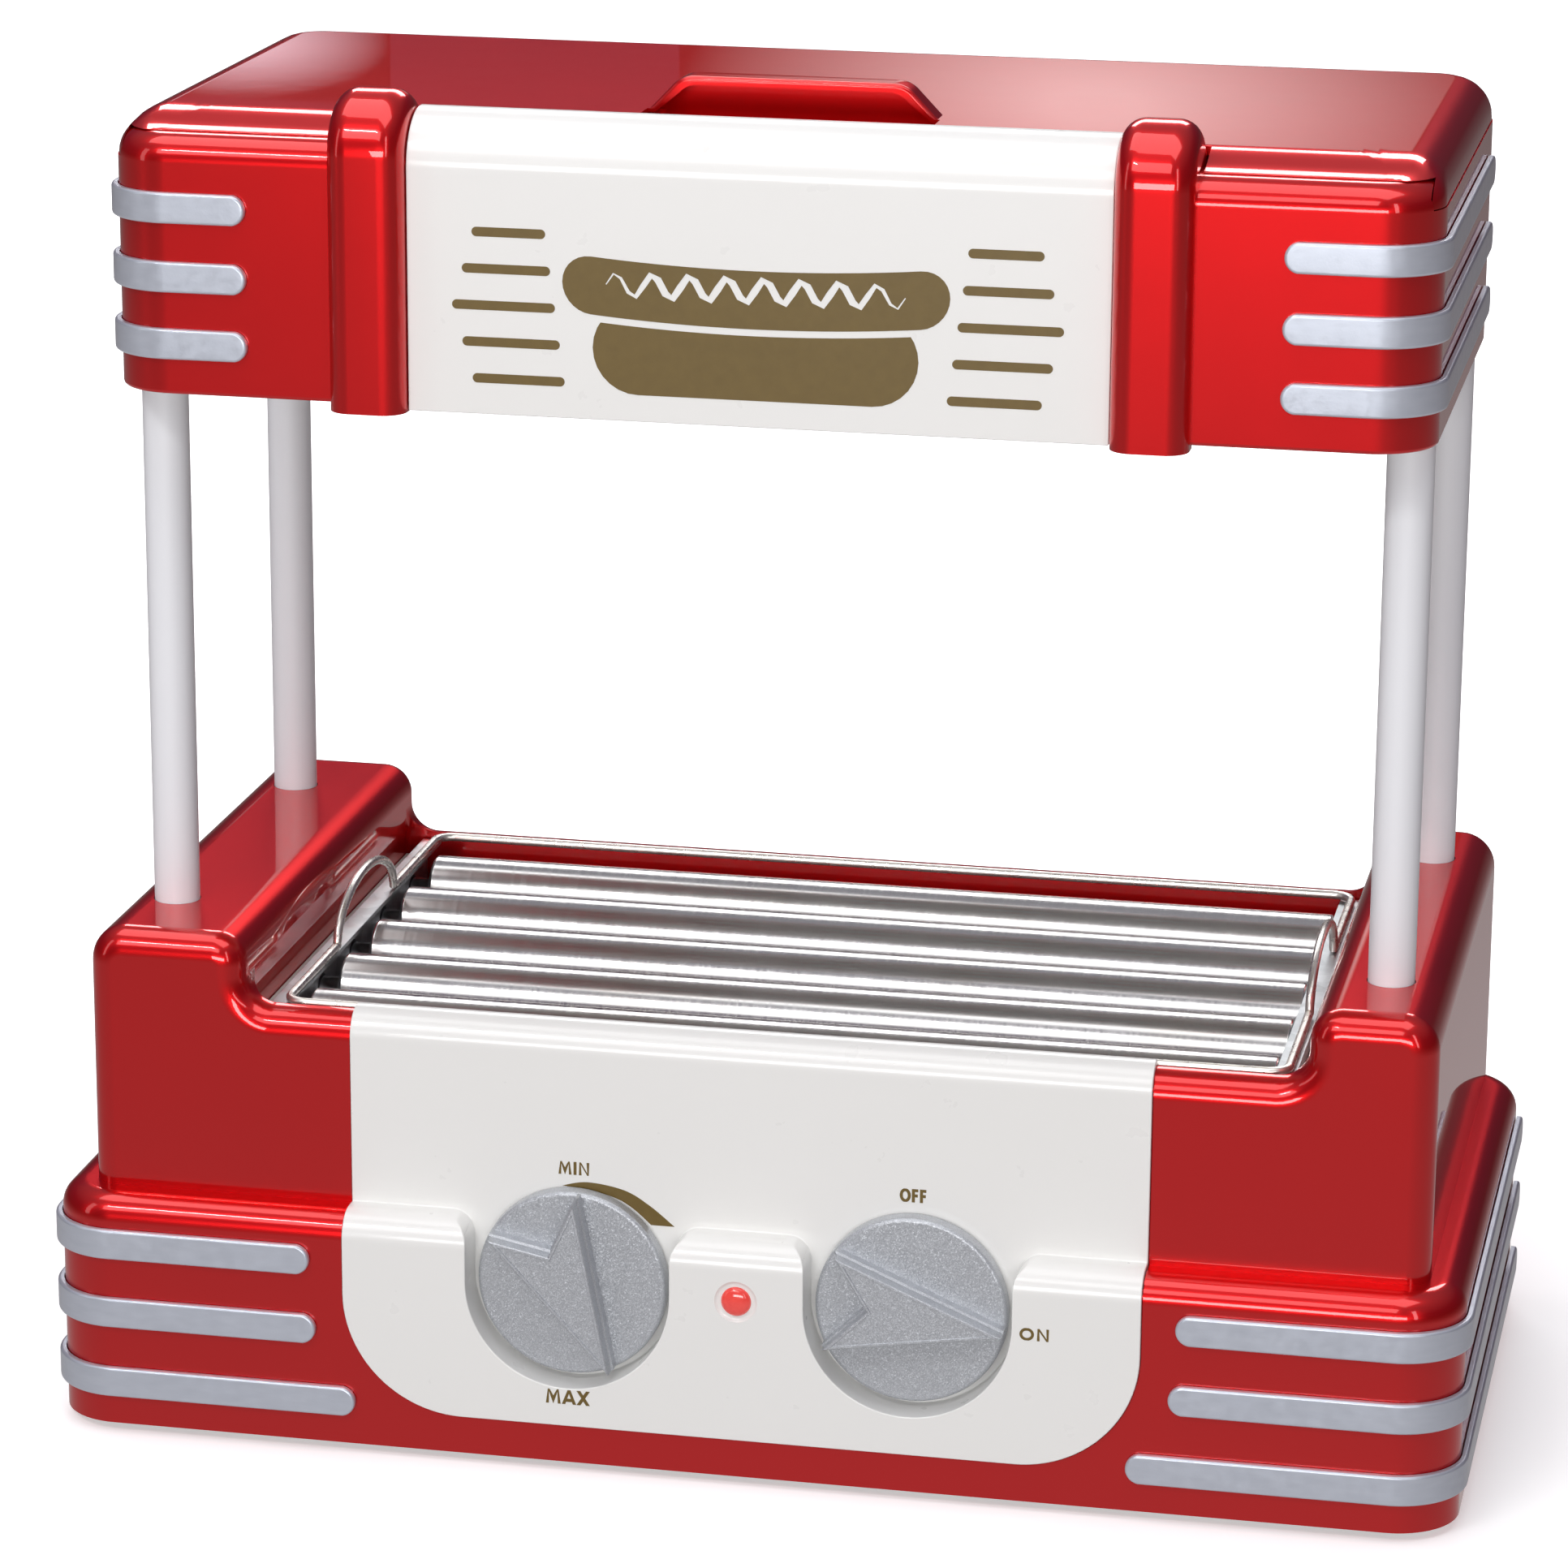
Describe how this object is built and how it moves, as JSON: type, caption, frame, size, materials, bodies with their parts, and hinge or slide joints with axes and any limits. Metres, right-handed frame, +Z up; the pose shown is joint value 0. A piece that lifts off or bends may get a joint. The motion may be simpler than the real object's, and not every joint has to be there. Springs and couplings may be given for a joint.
{
  "type": "hot dog roller grill",
  "caption": "Countertop hot dog roller grill: geared rollers between two towers, control knobs in front, and a lidded bun-warming canopy on posts.",
  "frame": {"origin": "on the supporting surface, under the middle of the object's box", "axes": "+X to the right along the rollers, +Y to the rear, +Z up; the controls face -Y"},
  "size_m": [0.4364, 0.223, 0.415],
  "materials": {
    "candy_red": "metallic candy red, clear gloss",
    "ivory_plastic": "gloss ivory",
    "knob_silver": "silver flake satin",
    "trim_silver": "satin silver",
    "white_plastic": "white, satin",
    "stainless_steel": "bright",
    "galvanised_steel": "galvanised, dull",
    "element_sheath": "dark, heat-stained",
    "nylon": "natural",
    "pilot_lens": "translucent red",
    "rubber": "matt black"
  },
  "bodies": {
    "frame": {"base_housing": "candy_red", "canopy_body": "candy_red", "control_panel": "ivory_plastic", "sign_panel": "ivory_plastic", "base_trim_left_top": "trim_silver", "base_trim_left_middle": "trim_silver", "base_trim_left_bottom": "trim_silver", "base_trim_right_top": "trim_silver", "base_trim_right_middle": "trim_silver", "base_trim_right_bottom": "trim_silver", "canopy_trim_left_top": "trim_silver", "canopy_trim_left_middle": "trim_silver", "canopy_trim_left_bottom": "trim_silver", "canopy_trim_right_top": "trim_silver", "canopy_trim_right_middle": "trim_silver", "canopy_trim_right_bottom": "trim_silver", "post_front_left": "white_plastic", "post_front_right": "white_plastic", "post_rear_left": "white_plastic", "post_rear_right": "white_plastic", "base_plate": "stainless_steel", "canopy_floor": "stainless_steel", "gear_motor": "stainless_steel", "thermostat": "stainless_steel", "rotary_switch": "stainless_steel", "hinge_pin_left": "stainless_steel", "hinge_pin_right": "stainless_steel", "end_plate_left": "galvanised_steel", "end_plate_right": "galvanised_steel", "heating_element": "element_sheath", "bearing_strip_left": "nylon", "bearing_strip_right": "nylon", "pilot_lens": "pilot_lens", "cord_gland": "rubber", "foot_front_left": "rubber", "foot_front_right": "rubber", "foot_rear_left": "rubber", "foot_rear_right": "rubber"},
    "heat_knob": {"heat_knob": "knob_silver"},
    "power_knob": {"power_knob": "knob_silver"},
    "canopy_lid": {"canopy_lid": "candy_red"},
    "wire_guard": {"wire_guard": "stainless_steel"},
    "drip_tray": {"drip_tray": "galvanised_steel"},
    "drive_pinion": {"drive_pinion": "nylon"},
    "roller_1": {"roller_1": "stainless_steel", "roller_gear_1": "nylon"},
    "roller_2": {"roller_2": "stainless_steel", "roller_gear_2": "nylon"},
    "roller_3": {"roller_3": "stainless_steel", "roller_gear_3": "nylon"},
    "roller_4": {"roller_4": "stainless_steel", "roller_gear_4": "nylon"},
    "roller_5": {"roller_5": "stainless_steel", "roller_gear_5": "nylon"},
    "idler_1": {"idler_gear_1": "nylon"},
    "idler_2": {"idler_gear_2": "nylon"},
    "idler_3": {"idler_gear_3": "nylon"},
    "idler_4": {"idler_gear_4": "nylon"}
  },
  "joints": [
    {"name": "heat_knob_turn", "type": "hinge", "parent": "frame", "child": "heat_knob", "pos_m": [-0.052, 0, 0.0587], "axis": [0, 1, 0], "range_deg": [-153, 27]},
    {"name": "power_knob_turn", "type": "hinge", "parent": "frame", "child": "power_knob", "pos_m": [0.052, 0, 0.0587], "axis": [0, 1, 0], "range_deg": [-97, 0]},
    {"name": "lid_hinge", "type": "hinge", "parent": "frame", "child": "canopy_lid", "pos_m": [0, 0.1025, 0.3915], "axis": [-1, 0, 0], "range_deg": [0, 95]},
    {"name": "wire_guard_lift", "type": "slide", "parent": "frame", "child": "wire_guard", "axis": [0, 0, 1], "range_m": [0, 0.12]},
    {"name": "drip_tray_pull", "type": "slide", "parent": "frame", "child": "drip_tray", "axis": [0, 1, 0], "range_m": [0, 0.17]},
    {"name": "roller_1_spin", "type": "hinge", "parent": "frame", "child": "roller_1", "pos_m": [0, -0.067, 0.122], "axis": [1, 0, 0], "continuous": true},
    {"name": "roller_2_spin", "type": "hinge", "parent": "frame", "child": "roller_2", "pos_m": [0, -0.031, 0.122], "axis": [1, 0, 0], "continuous": true},
    {"name": "roller_3_spin", "type": "hinge", "parent": "frame", "child": "roller_3", "pos_m": [0, 0.005, 0.122], "axis": [1, 0, 0], "continuous": true},
    {"name": "roller_4_spin", "type": "hinge", "parent": "frame", "child": "roller_4", "pos_m": [0, 0.041, 0.122], "axis": [1, 0, 0], "continuous": true},
    {"name": "roller_5_spin", "type": "hinge", "parent": "frame", "child": "roller_5", "pos_m": [0, 0.077, 0.122], "axis": [1, 0, 0], "continuous": true},
    {"name": "idler_1_spin", "type": "hinge", "parent": "frame", "child": "idler_1", "pos_m": [-0.169, -0.049, 0.11328], "axis": [1, 0, 0], "continuous": true},
    {"name": "idler_2_spin", "type": "hinge", "parent": "frame", "child": "idler_2", "pos_m": [-0.169, -0.013, 0.11328], "axis": [1, 0, 0], "continuous": true},
    {"name": "idler_3_spin", "type": "hinge", "parent": "frame", "child": "idler_3", "pos_m": [-0.169, 0.023, 0.11328], "axis": [1, 0, 0], "continuous": true},
    {"name": "idler_4_spin", "type": "hinge", "parent": "frame", "child": "idler_4", "pos_m": [-0.169, 0.059, 0.11328], "axis": [1, 0, 0], "continuous": true},
    {"name": "drive_pinion_spin", "type": "hinge", "parent": "frame", "child": "drive_pinion", "pos_m": [-0.169, -0.013, 0.09828], "axis": [1, 0, 0], "continuous": true}
  ],
  "couplings": [
    {"joint": "roller_1_spin", "follows": "roller_3_spin", "ratio": 1},
    {"joint": "roller_2_spin", "follows": "roller_3_spin", "ratio": 1},
    {"joint": "roller_4_spin", "follows": "roller_3_spin", "ratio": 1},
    {"joint": "roller_5_spin", "follows": "roller_3_spin", "ratio": 1},
    {"joint": "idler_1_spin", "follows": "roller_3_spin", "ratio": -1},
    {"joint": "idler_2_spin", "follows": "roller_3_spin", "ratio": -1},
    {"joint": "idler_3_spin", "follows": "roller_3_spin", "ratio": -1},
    {"joint": "idler_4_spin", "follows": "roller_3_spin", "ratio": -1},
    {"joint": "drive_pinion_spin", "follows": "roller_3_spin", "ratio": 2}
  ]
}
